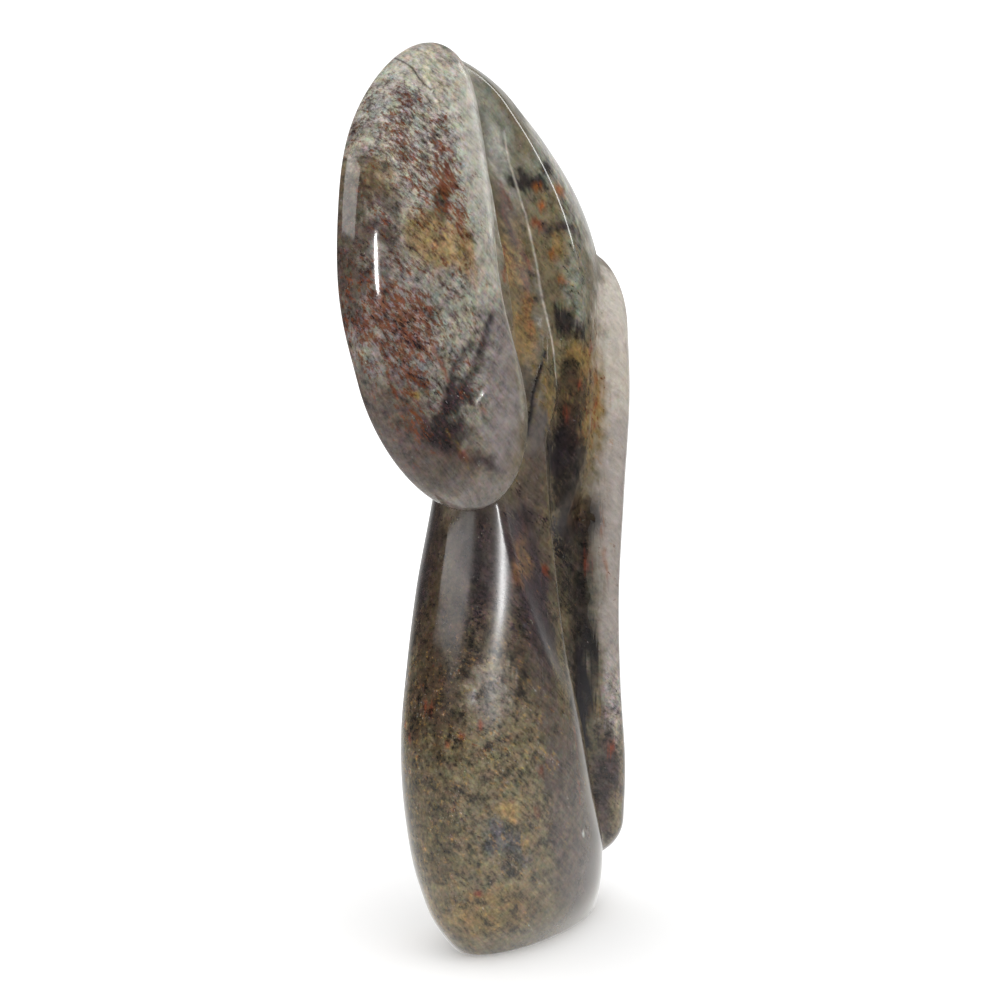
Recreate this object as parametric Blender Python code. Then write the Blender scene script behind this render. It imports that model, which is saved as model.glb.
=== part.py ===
"""An elephant's head, carved from one stone and polished.

The head looks along +X, its larger ear lies on the -Y side, and the foot stands on the plane
Z = 0 with the origin on its underside. Every size of the carving is a share of HEIGHT.
"""

from dataclasses import dataclass
from math import radians

import bmesh
import bpy
import numpy as np

HEIGHT = 0.254  # from the underside to the crown, in metres
BLANK_GRAIN = 0.0060  # mesh size of the rough blank, as a share of HEIGHT
FACES = 9600  # triangles of the finished solid, about
SNAP = 0.0015  # points this near to the underside are drawn onto it, as a share of HEIGHT
SAW_SLACK = 0.00001  # a point this near to the saw's plane counts as on it, in metres
SHARP_ANGLE = 40.0  # an edge bent by more than this many degrees is shaded sharp

FLANK_WHEEL = 0.250  # radius of the hollow ground into each flank, as a share of HEIGHT
FACE_WHEEL = 0.120  # radius of the hollow ground into each side of the face

STONE_COLOUR = (0.235, 0.205, 0.155, 1.0)
STONE_ROUGHNESS = 0.28


@dataclass(frozen=True)
class Lobe:
    """One swelling of the stone: level oval sections between a rounded bottom and a rounded top.

    Each section is (z, x, y, half length along X, half thickness along Y).
    """

    sections: tuple
    bottom: float
    bottom_round: float
    top: float
    top_round: float
    squareness: float = 2.0
    cap_squareness: float = 0.0  # of the rounded ends; 0 gives them the sections' squareness
    lean: float = 0.0  # how far the sections' length turns from X towards Y, as a slope


def wheel_path(radius, centres):
    """Round level sections of a grinding wheel that runs through the centres (z, x, y)."""
    return tuple((z, x, y, radius, radius) for z, x, y in centres)


COLUMN = Lobe(
    sections=(
        (-0.02, 0.050, 0.0, 0.108, 0.036),
        (0.00, 0.032, 0.0, 0.121, 0.049),
        (0.03, 0.016, 0.0, 0.132, 0.066),
        (0.08, 0.001, 0.0, 0.141, 0.079),
        (0.16, -0.023, 0.0, 0.137, 0.084),
        (0.25, -0.040, 0.0, 0.126, 0.082),
        (0.33, -0.048, 0.0, 0.105, 0.077),
        (0.41, -0.048, 0.0, 0.086, 0.072),
        (0.50, -0.042, 0.0, 0.071, 0.060),
        (0.62, -0.036, 0.0, 0.062, 0.046),
    ),
    bottom=-0.03,
    bottom_round=0.01,
    top=0.66,
    top_round=0.12,
)
TRUNK = Lobe(
    sections=(
        (0.06, 0.144, 0.0, 0.044, 0.048),
        (0.16, 0.147, 0.0, 0.044, 0.050),
        (0.26, 0.139, 0.0, 0.040, 0.049),
        (0.36, 0.135, 0.0, 0.038, 0.049),
        (0.48, 0.141, 0.0, 0.042, 0.050),
        (0.60, 0.148, 0.0, 0.046, 0.051),
        (0.70, 0.142, 0.0, 0.048, 0.048),
    ),
    bottom=0.052,
    bottom_round=0.045,
    top=0.755,
    top_round=0.08,
)
WEB = Lobe(
    sections=(
        (0.05, 0.050, 0.0, 0.100, 0.026),
        (0.30, 0.050, 0.0, 0.100, 0.024),
        (0.60, 0.050, 0.0, 0.100, 0.024),
    ),
    bottom=0.05,
    bottom_round=0.03,
    top=0.62,
    top_round=0.05,
    squareness=4.0,
)
HEAD = Lobe(
    sections=(
        (0.50, 0.040, 0.0, 0.105, 0.040),
        (0.62, 0.030, 0.0, 0.125, 0.048),
        (0.74, 0.003, 0.0, 0.149, 0.054),
        (0.82, -0.030, 0.0, 0.138, 0.050),
        (0.89, -0.083, 0.0, 0.122, 0.043),
        (0.94, -0.126, 0.0, 0.104, 0.036),
        (0.99, -0.155, 0.0, 0.080, 0.030),
    ),
    bottom=0.44,
    bottom_round=0.12,
    top=0.990,
    top_round=0.06,
)
NEAR_EAR = Lobe(
    sections=(
        (0.50, -0.119, -0.036, 0.095, 0.031),
        (0.58, -0.143, -0.031, 0.097, 0.030),
        (0.66, -0.171, -0.027, 0.097, 0.029),
        (0.74, -0.199, -0.025, 0.096, 0.029),
        (0.84, -0.206, -0.022, 0.101, 0.031),
        (0.92, -0.194, -0.014, 0.109, 0.038),
        (1.00, -0.158, -0.004, 0.119, 0.050),
    ),
    bottom=0.511,
    bottom_round=0.15,
    top=1.0,
    top_round=0.30,
    squareness=2.8,
    cap_squareness=2.0,
    lean=-0.25,
)
FAR_EAR = Lobe(
    sections=(
        (0.52, -0.100, 0.036, 0.090, 0.030),
        (0.70, -0.150, 0.028, 0.092, 0.031),
        (0.90, -0.150, 0.018, 0.098, 0.036),
    ),
    bottom=0.545,
    bottom_round=0.14,
    top=0.965,
    top_round=0.20,
    squareness=2.8,
    cap_squareness=2.0,
    lean=0.25,
)
CHEEK = Lobe(
    sections=(
        (0.550, -0.014, -0.029, 0.018, 0.016),
        (0.574, -0.014, -0.029, 0.028, 0.017),
        (0.599, -0.014, -0.029, 0.044, 0.018),
        (0.621, -0.014, -0.029, 0.049, 0.018),
        (0.643, -0.014, -0.029, 0.043, 0.016),
        (0.668, -0.014, -0.029, 0.038, 0.013),
    ),
    bottom=0.520,
    bottom_round=0.05,
    top=0.710,
    top_round=0.05,
    squareness=2.5,
)
FLANK = Lobe(
    sections=wheel_path(
        FLANK_WHEEL,
        (
            (0.15, 0.117, -0.304),
            (0.21, 0.108, -0.304),
            (0.29, 0.085, -0.303),
            (0.37, 0.034, -0.306),
            (0.44, -0.014, -0.303),
            (0.52, -0.060, -0.292),
        ),
    ),
    bottom=0.06,
    bottom_round=0.30,
    top=0.80,
    top_round=0.20,
)
VALLEY = Lobe(
    sections=(
        (0.577, -0.060, -0.064, 0.036, 0.034),
        (0.599, -0.057, -0.064, 0.038, 0.035),
        (0.621, -0.050, -0.063, 0.040, 0.036),
        (0.643, -0.040, -0.062, 0.040, 0.036),
        (0.671, -0.029, -0.061, 0.040, 0.037),
        (0.700, -0.026, -0.060, 0.040, 0.038),
        (0.74, -0.035, -0.058, 0.038, 0.038),
        (0.82, -0.060, -0.052, 0.033, 0.035),
        (0.86, -0.073, -0.048, 0.027, 0.030),
        (0.90, -0.087, -0.043, 0.019, 0.023),
        (0.94, -0.102, -0.037, 0.010, 0.015),
    ),
    bottom=0.52,
    bottom_round=0.10,
    top=0.970,
    top_round=0.04,
)
FACE = Lobe(
    sections=wheel_path(
        FACE_WHEEL,
        (
            (0.50, 0.020, -0.152),
            (0.60, 0.012, -0.156),
            (0.70, -0.001, -0.157),
            (0.78, -0.023, -0.154),
            (0.86, -0.055, -0.151),
            (0.94, -0.105, -0.142),
            (1.00, -0.146, -0.135),
        ),
    ),
    bottom=0.32,
    bottom_round=0.18,
    top=1.10,
    top_round=0.05,
)

NECK_BLEND = 0.018
WEB_BLEND = 0.007
ROOT_BLEND = 0.008
EAR_BLEND = 0.006
EDGE_BLEND = 0.0045
FLANK_BLEND = 0.005
CHEEK_BLEND = 0.004
OTHER_SIDE = np.array([1.0, -1.0, 1.0])
ORDER = (
    ("DIFFERENCE", FLANK, FLANK_BLEND, True),
    ("UNION", WEB, WEB_BLEND, False),
    ("UNION", HEAD, NECK_BLEND, False),
    ("UNION", CHEEK, CHEEK_BLEND, True),
    ("DIFFERENCE", VALLEY, EDGE_BLEND, True),
    ("UNION", TRUNK, ROOT_BLEND, False),
    ("UNION", FAR_EAR, EAR_BLEND, False),
    ("UNION", NEAR_EAR, EAR_BLEND, False),
)

RING_POINTS = 48
RING_COUNT = 40
END_TURN = 0.06  # turn between a lobe's end and its last ring, in radians
LEAST_SHRINK = 0.001  # keeps the last ring from closing to a point
TINY = 1e-9  # keeps a lobe's middle from dividing by nothing
LEAST_SLOPE = 0.35  # keeps the distance estimate finite at a lobe's middle
SLOPE_STEP = 0.0005  # how far apart the slope of the carving is read, as a share of HEIGHT
LEAST_STEEPNESS = 0.05
SETTLE_STEPS = 8
SETTLE_REACH = 0.02  # the most that a point moves in one step, as a share of HEIGHT


def flow(heights, values, z):
    """A smooth curve through the values at the given heights, straight on past both ends."""
    heights, values = np.asarray(heights), np.asarray(values)
    slopes = np.gradient(values, heights)
    at = np.clip(np.searchsorted(heights, z) - 1, 0, len(heights) - 2)
    step = heights[at + 1] - heights[at]
    t = (z - heights[at]) / step
    inside = np.clip(t, 0.0, 1.0)
    rise = values[at] * (1 + 2 * inside) * (1 - inside) ** 2
    rise += values[at + 1] * inside**2 * (3 - 2 * inside)
    rise += step * slopes[at] * inside * (1 - inside) ** 2
    rise -= step * slopes[at + 1] * inside**2 * (1 - inside)
    return rise + np.where(t < 0, slopes[at], slopes[at + 1]) * (t - inside) * step


def section_at(lobe, z):
    """Centre x and y, half length and half thickness of a lobe at the heights z."""
    heights, *sizes = np.array(lobe.sections).T
    within = np.clip(z, lobe.bottom, lobe.top)
    return [flow(heights, size, within) for size in sizes]


def cap_depth(lobe, z):
    """How far into its rounded top or bottom a lobe is at z: 0 along its body, 1 at the end."""
    over_top = (z - (lobe.top - lobe.top_round)) / lobe.top_round
    under_bottom = ((lobe.bottom + lobe.bottom_round) - z) / lobe.bottom_round
    steep = np.where(over_top > under_bottom, lobe.top_round, lobe.bottom_round)
    return np.maximum(np.maximum(over_top, under_bottom), 0.0), steep


def distance(lobe, points):
    """Distance of each point to a lobe's skin, negative inside."""
    x, y, z = points.T
    centre_x, centre_y, half_long, half_thick = section_at(lobe, z)
    depth, steep = cap_depth(lobe, z)
    power = lobe.squareness
    cap_power = lobe.cap_squareness or power
    along = np.abs(x - centre_x) / half_long
    across = np.abs(y - centre_y - lobe.lean * (x - centre_x)) / half_thick
    ring = np.maximum(along**power + across**power, TINY)
    swell = ring ** (cap_power / power - 1)
    slope = np.sqrt(
        (swell * along ** (power - 1) / half_long) ** 2
        + (swell * across ** (power - 1) / half_thick) ** 2
        + (depth ** (cap_power - 1) / steep) ** 2
    )
    level = ring * swell + depth**cap_power
    return (level - 1) / (cap_power * np.maximum(slope, LEAST_SLOPE / half_thick))


def melt(one, other, width):
    """The union of two forms, with a fillet about as wide as width in the corner between them."""
    share = np.clip(0.5 + 0.5 * (other - one) / width, 0.0, 1.0)
    return other * (1 - share) + one * share - width * share * (1 - share)


def cut(form, tool, width):
    """The form with the tool's shape taken out of it, its edge eased by width."""
    return -melt(-form, tool, width)


def head_form(points):
    """Distance of each point to the head with a hollow-ground face on both of its sides."""
    head = distance(HEAD, points)
    for side in (points, points * OTHER_SIDE):
        head = cut(head, distance(FACE, side), EDGE_BLEND)
    return head


def carving(points):
    """Distance of each point to the skin of the whole carving; points are shares of HEIGHT."""
    stone = distance(COLUMN, points)
    for action, lobe, blend, both_sides in ORDER:
        for side in (points, points * OTHER_SIDE) if both_sides else (points,):
            form = head_form(side) if lobe is HEAD else distance(lobe, side)
            stone = melt(stone, form, blend) if action == "UNION" else cut(stone, form, blend)
    return stone


def slope_of(points):
    """The direction in which the carving's distance grows at each point."""
    rises = [carving(points + shift) - carving(points - shift) for shift in SLOPE_STEP * np.eye(3)]
    return np.stack(rises, axis=1) / (2 * SLOPE_STEP)


def settle(points):
    """Moves points near the carving onto its skin."""
    for _ in range(SETTLE_STEPS):
        slope = slope_of(points)
        steepness = np.maximum((slope**2).sum(1), LEAST_STEEPNESS)
        move = -(carving(points) / steepness)[:, None] * slope
        length = np.linalg.norm(move, axis=1, keepdims=True)
        points = points + move * SETTLE_REACH / np.maximum(length, SETTLE_REACH)
    return points


def add_object(name, mesh):
    """Links a new object with the mesh to the scene."""
    item = bpy.data.objects.new(name, mesh)
    bpy.context.scene.collection.objects.link(item)
    return item


def loft(name, lobe, mirrored=False):
    """A closed mesh through the lobe's level rings, on the far side where it is mirrored."""
    turn = np.linspace(0, 2 * np.pi, RING_POINTS, endpoint=False)
    middle = 0.5 * (lobe.bottom + lobe.top)
    reach = 0.5 * (lobe.top - lobe.bottom)
    heights = middle - reach * np.cos(np.linspace(END_TURN, np.pi - END_TURN, RING_COUNT))
    power = 2 / lobe.squareness
    cap_power = lobe.cap_squareness or lobe.squareness
    shape = bmesh.new()
    rings = []
    for z in heights:
        centre_x, centre_y, half_long, half_thick = section_at(lobe, np.array(z))
        depth, _ = cap_depth(lobe, np.array(z))
        shrink = max(LEAST_SHRINK, 1 - depth**cap_power) ** (1 / cap_power)
        ring = []
        for angle in turn:
            along = half_long * shrink * np.sign(np.cos(angle)) * abs(np.cos(angle)) ** power
            across = half_thick * shrink * np.sign(np.sin(angle)) * abs(np.sin(angle)) ** power
            spot = (centre_x + along, centre_y + lobe.lean * along + across, z)
            ring.append(shape.verts.new([HEIGHT * value for value in spot]))
        rings.append(ring)
    for low, high in zip(rings, rings[1:]):
        for k in range(RING_POINTS):
            after = (k + 1) % RING_POINTS
            shape.faces.new((low[k], low[after], high[after], high[k]))
    shape.faces.new(rings[0][::-1])
    shape.faces.new(rings[-1])
    if mirrored:
        bmesh.ops.scale(shape, vec=OTHER_SIDE, verts=shape.verts)
        bmesh.ops.reverse_faces(shape, faces=shape.faces)
    mesh = bpy.data.meshes.new(name)
    shape.to_mesh(mesh)
    shape.free()
    return add_object(name, mesh)


def baked(item):
    """A copy of the object's mesh with its modifiers applied."""
    graph = bpy.context.evaluated_depsgraph_get()
    return bpy.data.meshes.new_from_object(item.evaluated_get(graph))


def rough_blank(grain):
    """The lobes joined and cut in order as one even mesh, each point settled on the carving's skin."""
    body = loft("blank", COLUMN)
    tools = []
    for action, lobe, _, both_sides in ORDER:
        for mirrored in (False, True) if both_sides else (False,):
            tool = loft("tool", lobe, mirrored)
            tools.append(tool)
            step = body.modifiers.new("step", "BOOLEAN")
            step.operation = action
            step.solver = "EXACT"
            step.object = tool
    even = body.modifiers.new("even", "REMESH")
    even.mode = "VOXEL"
    even.voxel_size = grain * HEIGHT
    mesh = baked(body)
    for item in (body, *tools):
        bpy.data.objects.remove(item)
    points = np.empty(len(mesh.vertices) * 3)
    mesh.vertices.foreach_get("co", points)
    points = settle(points.reshape(-1, 3) / HEIGHT) * HEIGHT
    mesh.vertices.foreach_set("co", points.ravel())
    return mesh


def draw_to_underside(shape):
    """Puts the points that lie next to the underside onto it."""
    for point in shape.verts:
        if abs(point.co.z) < SNAP * HEIGHT:
            point.co.z = 0.0


def saw_flat(mesh):
    """Cuts the mesh off at the underside and closes it with a flat fan of faces."""
    shape = bmesh.new()
    shape.from_mesh(mesh)
    draw_to_underside(shape)
    bmesh.ops.bisect_plane(
        shape,
        geom=shape.verts[:] + shape.edges[:] + shape.faces[:],
        dist=SAW_SLACK,
        plane_co=(0, 0, 0),
        plane_no=(0, 0, 1),
        clear_inner=True,
    )
    rim = [edge for edge in shape.edges if edge.is_boundary]
    bmesh.ops.contextual_create(shape, geom=rim)
    floor = [face for face in shape.faces if len(face.verts) > 4]
    bmesh.ops.poke(shape, faces=floor)
    bmesh.ops.triangulate(shape, faces=shape.faces[:])
    bmesh.ops.recalc_face_normals(shape, faces=shape.faces[:])
    shape.to_mesh(mesh)
    shape.free()


def polished_stone():
    """The stone's plain material."""
    stone = bpy.data.materials.new("polished_stone")
    stone.use_nodes = True
    surface = stone.node_tree.nodes["Principled BSDF"]
    surface.inputs["Base Color"].default_value = STONE_COLOUR
    surface.inputs["Roughness"].default_value = STONE_ROUGHNESS
    surface.inputs["Metallic"].default_value = 0.0
    return stone


def thinned(mesh):
    """The mesh with about FACES triangles, flat where it was sawn."""
    item = add_object("thinned", mesh)
    thin = item.modifiers.new("thin", "DECIMATE")
    thin.ratio = FACES / len(mesh.polygons)
    light = baked(item)
    bpy.data.objects.remove(item)
    shape = bmesh.new()
    shape.from_mesh(light)
    draw_to_underside(shape)
    shape.to_mesh(light)
    shape.free()
    return light


def carve_stone():
    """The whole carving as one solid."""
    blank = rough_blank(BLANK_GRAIN)
    saw_flat(blank)
    mesh = thinned(blank)
    mesh.materials.append(polished_stone())
    mesh.shade_smooth()
    mesh.set_sharp_from_angle(angle=radians(SHARP_ANGLE))
    return add_object("carved_stone", mesh)


def main():
    """Clears the scene and makes the carving."""
    for item in list(bpy.data.objects):
        bpy.data.objects.remove(item)
    carve_stone()


if __name__ == "__main__":
    main()
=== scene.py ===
"""The looks of an elephant's head in polished stone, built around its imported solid.

The head looks along +X and stands on Z = 0. Its form is worked out here as in the solid, in shares
of its height, on a fine mesh that also carries what is cut, chipped and coloured too finely for it.
"""

import logging
import math
from dataclasses import dataclass, field
from enum import Enum
from typing import Any

import bmesh
import bpy
import numpy as np
from mathutils import Matrix, Vector, noise
from mathutils.bvhtree import BVHTree


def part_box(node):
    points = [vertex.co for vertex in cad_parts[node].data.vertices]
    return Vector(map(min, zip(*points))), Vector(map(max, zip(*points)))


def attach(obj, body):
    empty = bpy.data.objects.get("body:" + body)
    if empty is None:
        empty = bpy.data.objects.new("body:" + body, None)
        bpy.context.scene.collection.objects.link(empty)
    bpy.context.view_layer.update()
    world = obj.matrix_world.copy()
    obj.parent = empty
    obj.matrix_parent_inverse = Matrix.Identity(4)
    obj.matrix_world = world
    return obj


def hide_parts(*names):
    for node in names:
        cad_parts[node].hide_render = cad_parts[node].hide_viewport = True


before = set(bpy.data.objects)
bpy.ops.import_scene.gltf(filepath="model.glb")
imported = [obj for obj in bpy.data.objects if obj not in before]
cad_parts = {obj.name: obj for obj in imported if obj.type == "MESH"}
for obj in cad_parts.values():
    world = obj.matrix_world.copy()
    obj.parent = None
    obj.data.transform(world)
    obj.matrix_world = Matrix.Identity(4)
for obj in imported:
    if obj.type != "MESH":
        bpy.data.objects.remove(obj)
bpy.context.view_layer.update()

NODE = "carved_stone"
HEIGHT = round(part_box(NODE)[1].z, 3)
OTHER_SIDE = np.array([1.0, -1.0, 1.0])
TINY = 1e-9  # keeps a division from dividing by nothing
EASE_REACH = 2  # a cut's eased edge reaches this many times its ease
MIDDLE = 0.5  # the number about which noise swings
MIDDLE_GREY = (MIDDLE, MIDDLE, MIDDLE)
WHITE = (1.0, 1.0, 1.0)
MIX_FACTOR, MIX_FIRST, MIX_SECOND, MIX_RESULT = 0, 6, 7, 2  # a Mix node's places for colours
REPORT = logging.getLogger("carving")

Points = np.ndarray
Pixels = tuple[tuple[float, float], ...]
Link = Any


def heading(turn: float, rise: float) -> Vector:
    """The direction that is turned from -Y and raised from level by angles in degrees."""
    turn, rise = math.radians(turn), math.radians(rise)
    return Vector((math.sin(turn) * math.cos(rise), -math.cos(turn) * math.cos(rise), math.sin(rise)))


def placed(name: str, data: bpy.types.ID) -> bpy.types.Object:
    """A new object in the scene."""
    item = bpy.data.objects.new(name, data)
    bpy.context.scene.collection.objects.link(item)
    return item


def flow(heights: Points, values: Points, z: Points) -> Points:
    """A smooth curve through values at given heights, straight on past both ends.

    Args:
        heights: where the values stand, rising.
        values: one value for each height.
        z: where the curve is read.

    Returns:
        The curve's value at each z.
    """
    slopes = np.gradient(values, heights)
    at = np.clip(np.searchsorted(heights, z) - 1, 0, len(heights) - 2)
    step = heights[at + 1] - heights[at]
    t = (z - heights[at]) / step
    inside = np.clip(t, 0.0, 1.0)
    rise = values[at] * (1 + 2 * inside) * (1 - inside) ** 2
    rise += values[at + 1] * inside**2 * (3 - 2 * inside)
    rise += step * slopes[at] * inside * (1 - inside) ** 2
    rise -= step * slopes[at + 1] * inside**2 * (1 - inside)
    return rise + np.where(t < 0, slopes[at], slopes[at + 1]) * (t - inside) * step


def melt(one: Points, other: Points, width: float) -> Points:
    """The union of two forms, with a fillet about as wide as width in the corner between them."""
    share = np.clip(0.5 + 0.5 * (other - one) / width, 0.0, 1.0)
    return other * (1 - share) + one * share - width * share * (1 - share)


def cut(form: Points, tool: Points, width: float) -> Points:
    """The form with the tool's shape taken out of it, its edge eased by width."""
    return -melt(-form, tool, width)


@dataclass(frozen=True)
class Lobe:
    """One swelling of the stone: level oval sections between a rounded bottom and a rounded top.

    Each section is (z, x, y, half length along X, half thickness along Y), in shares of the height.
    """

    sections: tuple[tuple[float, ...], ...]
    bottom: float
    bottom_round: float
    top: float
    top_round: float
    squareness: float = 2.0
    cap_squareness: float = 0.0
    lean: float = 0.0
    least_slope: float = 0.35

    def sizes_at(self, z: Points) -> list[Points]:
        """Centre x and y, half length and half thickness at the heights z."""
        heights, *sizes = np.array(self.sections).T
        within = np.clip(z, self.bottom, self.top)
        return [flow(heights, size, within) for size in sizes]

    def cap_depth(self, z: Points) -> tuple[Points, Points]:
        """How far into the rounded top or bottom z is, from 0 to 1, and how tall that round is."""
        over_top = (z - (self.top - self.top_round)) / self.top_round
        under_bottom = ((self.bottom + self.bottom_round) - z) / self.bottom_round
        steep = np.where(over_top > under_bottom, self.top_round, self.bottom_round)
        return np.maximum(np.maximum(over_top, under_bottom), 0.0), steep

    def distance(self, points: Points) -> Points:
        """Distance of each point to the lobe's skin, negative inside."""
        x, y, z = points.T
        centre_x, centre_y, half_long, half_thick = self.sizes_at(z)
        depth, steep = self.cap_depth(z)
        power = self.squareness
        cap_power = self.cap_squareness or power
        along = np.abs(x - centre_x) / half_long
        across = np.abs(y - centre_y - self.lean * (x - centre_x)) / half_thick
        ring = np.maximum(along**power + across**power, TINY)
        swell = ring ** (cap_power / power - 1)
        slope = np.sqrt(
            (swell * along ** (power - 1) / half_long) ** 2
            + (swell * across ** (power - 1) / half_thick) ** 2
            + (depth ** (cap_power - 1) / steep) ** 2
        )
        level = ring * swell + depth**cap_power
        return (level - 1) / (cap_power * np.maximum(slope, self.least_slope / half_thick))


def wheel_path(radius: float, centres: tuple[tuple[float, ...], ...]) -> tuple[tuple[float, ...], ...]:
    """Round level sections of a grinding wheel that runs through the centres (z, x, y)."""
    return tuple((z, x, y, radius, radius) for z, x, y in centres)


@dataclass(frozen=True)
class Carving:
    """The whole head as a distance from its skin: its lobes and hollows, joined in carving order."""

    column: Lobe = Lobe(
        sections=(
            (-0.02, 0.050, 0.0, 0.108, 0.036),
            (0.00, 0.032, 0.0, 0.121, 0.049),
            (0.03, 0.016, 0.0, 0.132, 0.066),
            (0.08, 0.001, 0.0, 0.141, 0.079),
            (0.16, -0.023, 0.0, 0.137, 0.084),
            (0.25, -0.040, 0.0, 0.126, 0.082),
            (0.33, -0.048, 0.0, 0.105, 0.077),
            (0.41, -0.048, 0.0, 0.086, 0.072),
            (0.50, -0.042, 0.0, 0.071, 0.060),
            (0.62, -0.036, 0.0, 0.062, 0.046),
        ),
        bottom=-0.03,
        bottom_round=0.01,
        top=0.66,
        top_round=0.12,
    )
    trunk: Lobe = Lobe(
        sections=(
            (0.06, 0.144, 0.0, 0.044, 0.048),
            (0.16, 0.147, 0.0, 0.044, 0.050),
            (0.26, 0.139, 0.0, 0.040, 0.049),
            (0.36, 0.135, 0.0, 0.038, 0.049),
            (0.48, 0.141, 0.0, 0.042, 0.050),
            (0.60, 0.148, 0.0, 0.046, 0.051),
            (0.70, 0.142, 0.0, 0.048, 0.048),
        ),
        bottom=0.052,
        bottom_round=0.045,
        top=0.755,
        top_round=0.08,
    )
    web: Lobe = Lobe(
        sections=(
            (0.05, 0.050, 0.0, 0.100, 0.026),
            (0.30, 0.050, 0.0, 0.100, 0.024),
            (0.60, 0.050, 0.0, 0.100, 0.024),
        ),
        bottom=0.05,
        bottom_round=0.03,
        top=0.62,
        top_round=0.05,
        squareness=4.0,
    )
    head: Lobe = Lobe(
        sections=(
            (0.50, 0.040, 0.0, 0.105, 0.040),
            (0.62, 0.030, 0.0, 0.125, 0.048),
            (0.74, 0.003, 0.0, 0.149, 0.054),
            (0.82, -0.030, 0.0, 0.138, 0.050),
            (0.89, -0.083, 0.0, 0.122, 0.043),
            (0.94, -0.126, 0.0, 0.104, 0.036),
            (0.99, -0.155, 0.0, 0.080, 0.030),
        ),
        bottom=0.44,
        bottom_round=0.12,
        top=0.990,
        top_round=0.06,
    )
    near_ear: Lobe = Lobe(
        sections=(
            (0.50, -0.119, -0.036, 0.095, 0.031),
            (0.58, -0.143, -0.031, 0.097, 0.030),
            (0.66, -0.171, -0.027, 0.097, 0.029),
            (0.74, -0.199, -0.025, 0.096, 0.029),
            (0.84, -0.206, -0.022, 0.101, 0.031),
            (0.92, -0.194, -0.014, 0.109, 0.038),
            (1.00, -0.158, -0.004, 0.119, 0.050),
        ),
        bottom=0.511,
        bottom_round=0.15,
        top=1.0,
        top_round=0.30,
        squareness=2.8,
        cap_squareness=2.0,
        lean=-0.25,
    )
    far_ear: Lobe = Lobe(
        sections=(
            (0.52, -0.100, 0.036, 0.090, 0.030),
            (0.70, -0.150, 0.028, 0.092, 0.031),
            (0.90, -0.150, 0.018, 0.098, 0.036),
        ),
        bottom=0.545,
        bottom_round=0.14,
        top=0.965,
        top_round=0.20,
        squareness=2.8,
        cap_squareness=2.0,
        lean=0.25,
    )
    cheek: Lobe = Lobe(
        sections=(
            (0.550, -0.014, -0.029, 0.018, 0.016),
            (0.574, -0.014, -0.029, 0.028, 0.017),
            (0.599, -0.014, -0.029, 0.044, 0.018),
            (0.621, -0.014, -0.029, 0.049, 0.018),
            (0.643, -0.014, -0.029, 0.043, 0.016),
            (0.668, -0.014, -0.029, 0.038, 0.013),
        ),
        bottom=0.520,
        bottom_round=0.05,
        top=0.710,
        top_round=0.05,
        squareness=2.5,
    )
    flank: Lobe = Lobe(
        sections=wheel_path(
            0.250,
            (
                (0.15, 0.117, -0.304),
                (0.21, 0.108, -0.304),
                (0.29, 0.085, -0.303),
                (0.37, 0.034, -0.306),
                (0.44, -0.014, -0.303),
                (0.52, -0.060, -0.292),
            ),
        ),
        bottom=0.06,
        bottom_round=0.30,
        top=0.80,
        top_round=0.20,
    )
    valley: Lobe = Lobe(
        sections=(
            (0.577, -0.060, -0.064, 0.036, 0.034),
            (0.599, -0.057, -0.064, 0.038, 0.035),
            (0.621, -0.050, -0.063, 0.040, 0.036),
            (0.643, -0.040, -0.062, 0.040, 0.036),
            (0.671, -0.029, -0.061, 0.040, 0.037),
            (0.700, -0.026, -0.060, 0.040, 0.038),
            (0.74, -0.035, -0.058, 0.038, 0.038),
            (0.82, -0.060, -0.052, 0.033, 0.035),
            (0.86, -0.073, -0.048, 0.027, 0.030),
            (0.90, -0.087, -0.043, 0.019, 0.023),
            (0.94, -0.102, -0.037, 0.010, 0.015),
        ),
        bottom=0.52,
        bottom_round=0.10,
        top=0.970,
        top_round=0.04,
    )
    face: Lobe = Lobe(
        sections=wheel_path(
            0.120,
            (
                (0.50, 0.020, -0.152),
                (0.60, 0.012, -0.156),
                (0.70, -0.001, -0.157),
                (0.78, -0.023, -0.154),
                (0.86, -0.055, -0.151),
                (0.94, -0.105, -0.142),
                (1.00, -0.146, -0.135),
            ),
        ),
        bottom=0.32,
        bottom_round=0.18,
        top=1.10,
        top_round=0.05,
    )
    neck_blend: float = 0.018
    web_blend: float = 0.007
    root_blend: float = 0.008
    ear_blend: float = 0.006
    edge_blend: float = 0.0045
    flank_blend: float = 0.005
    cheek_blend: float = 0.004
    foot_wear: float = 0.004
    slope_step: float = 0.0005
    least_steepness: float = 0.05
    reach: float = 0.02

    def head_form(self, points: Points) -> Points:
        """Distance to the head with a hollow-ground face on both of its sides."""
        form = self.head.distance(points)
        for side in (points, points * OTHER_SIDE):
            form = cut(form, self.face.distance(side), self.edge_blend)
        return form

    def distance(self, points: Points) -> Points:
        """Distance of each point to the skin of the whole stone, sawn flat at the underside."""
        both = (points, points * OTHER_SIDE)
        form = self.column.distance(points)
        for side in both:
            form = cut(form, self.flank.distance(side), self.flank_blend)
        form = melt(form, self.web.distance(points), self.web_blend)
        form = melt(form, self.head_form(points), self.neck_blend)
        for side in both:
            form = melt(form, self.cheek.distance(side), self.cheek_blend)
        for side in both:
            form = cut(form, self.valley.distance(side), self.edge_blend)
        form = melt(form, self.trunk.distance(points), self.root_blend)
        form = melt(form, self.far_ear.distance(points), self.ear_blend)
        form = melt(form, self.near_ear.distance(points), self.ear_blend)
        return cut(form, points[:, 2], self.foot_wear)


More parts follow.
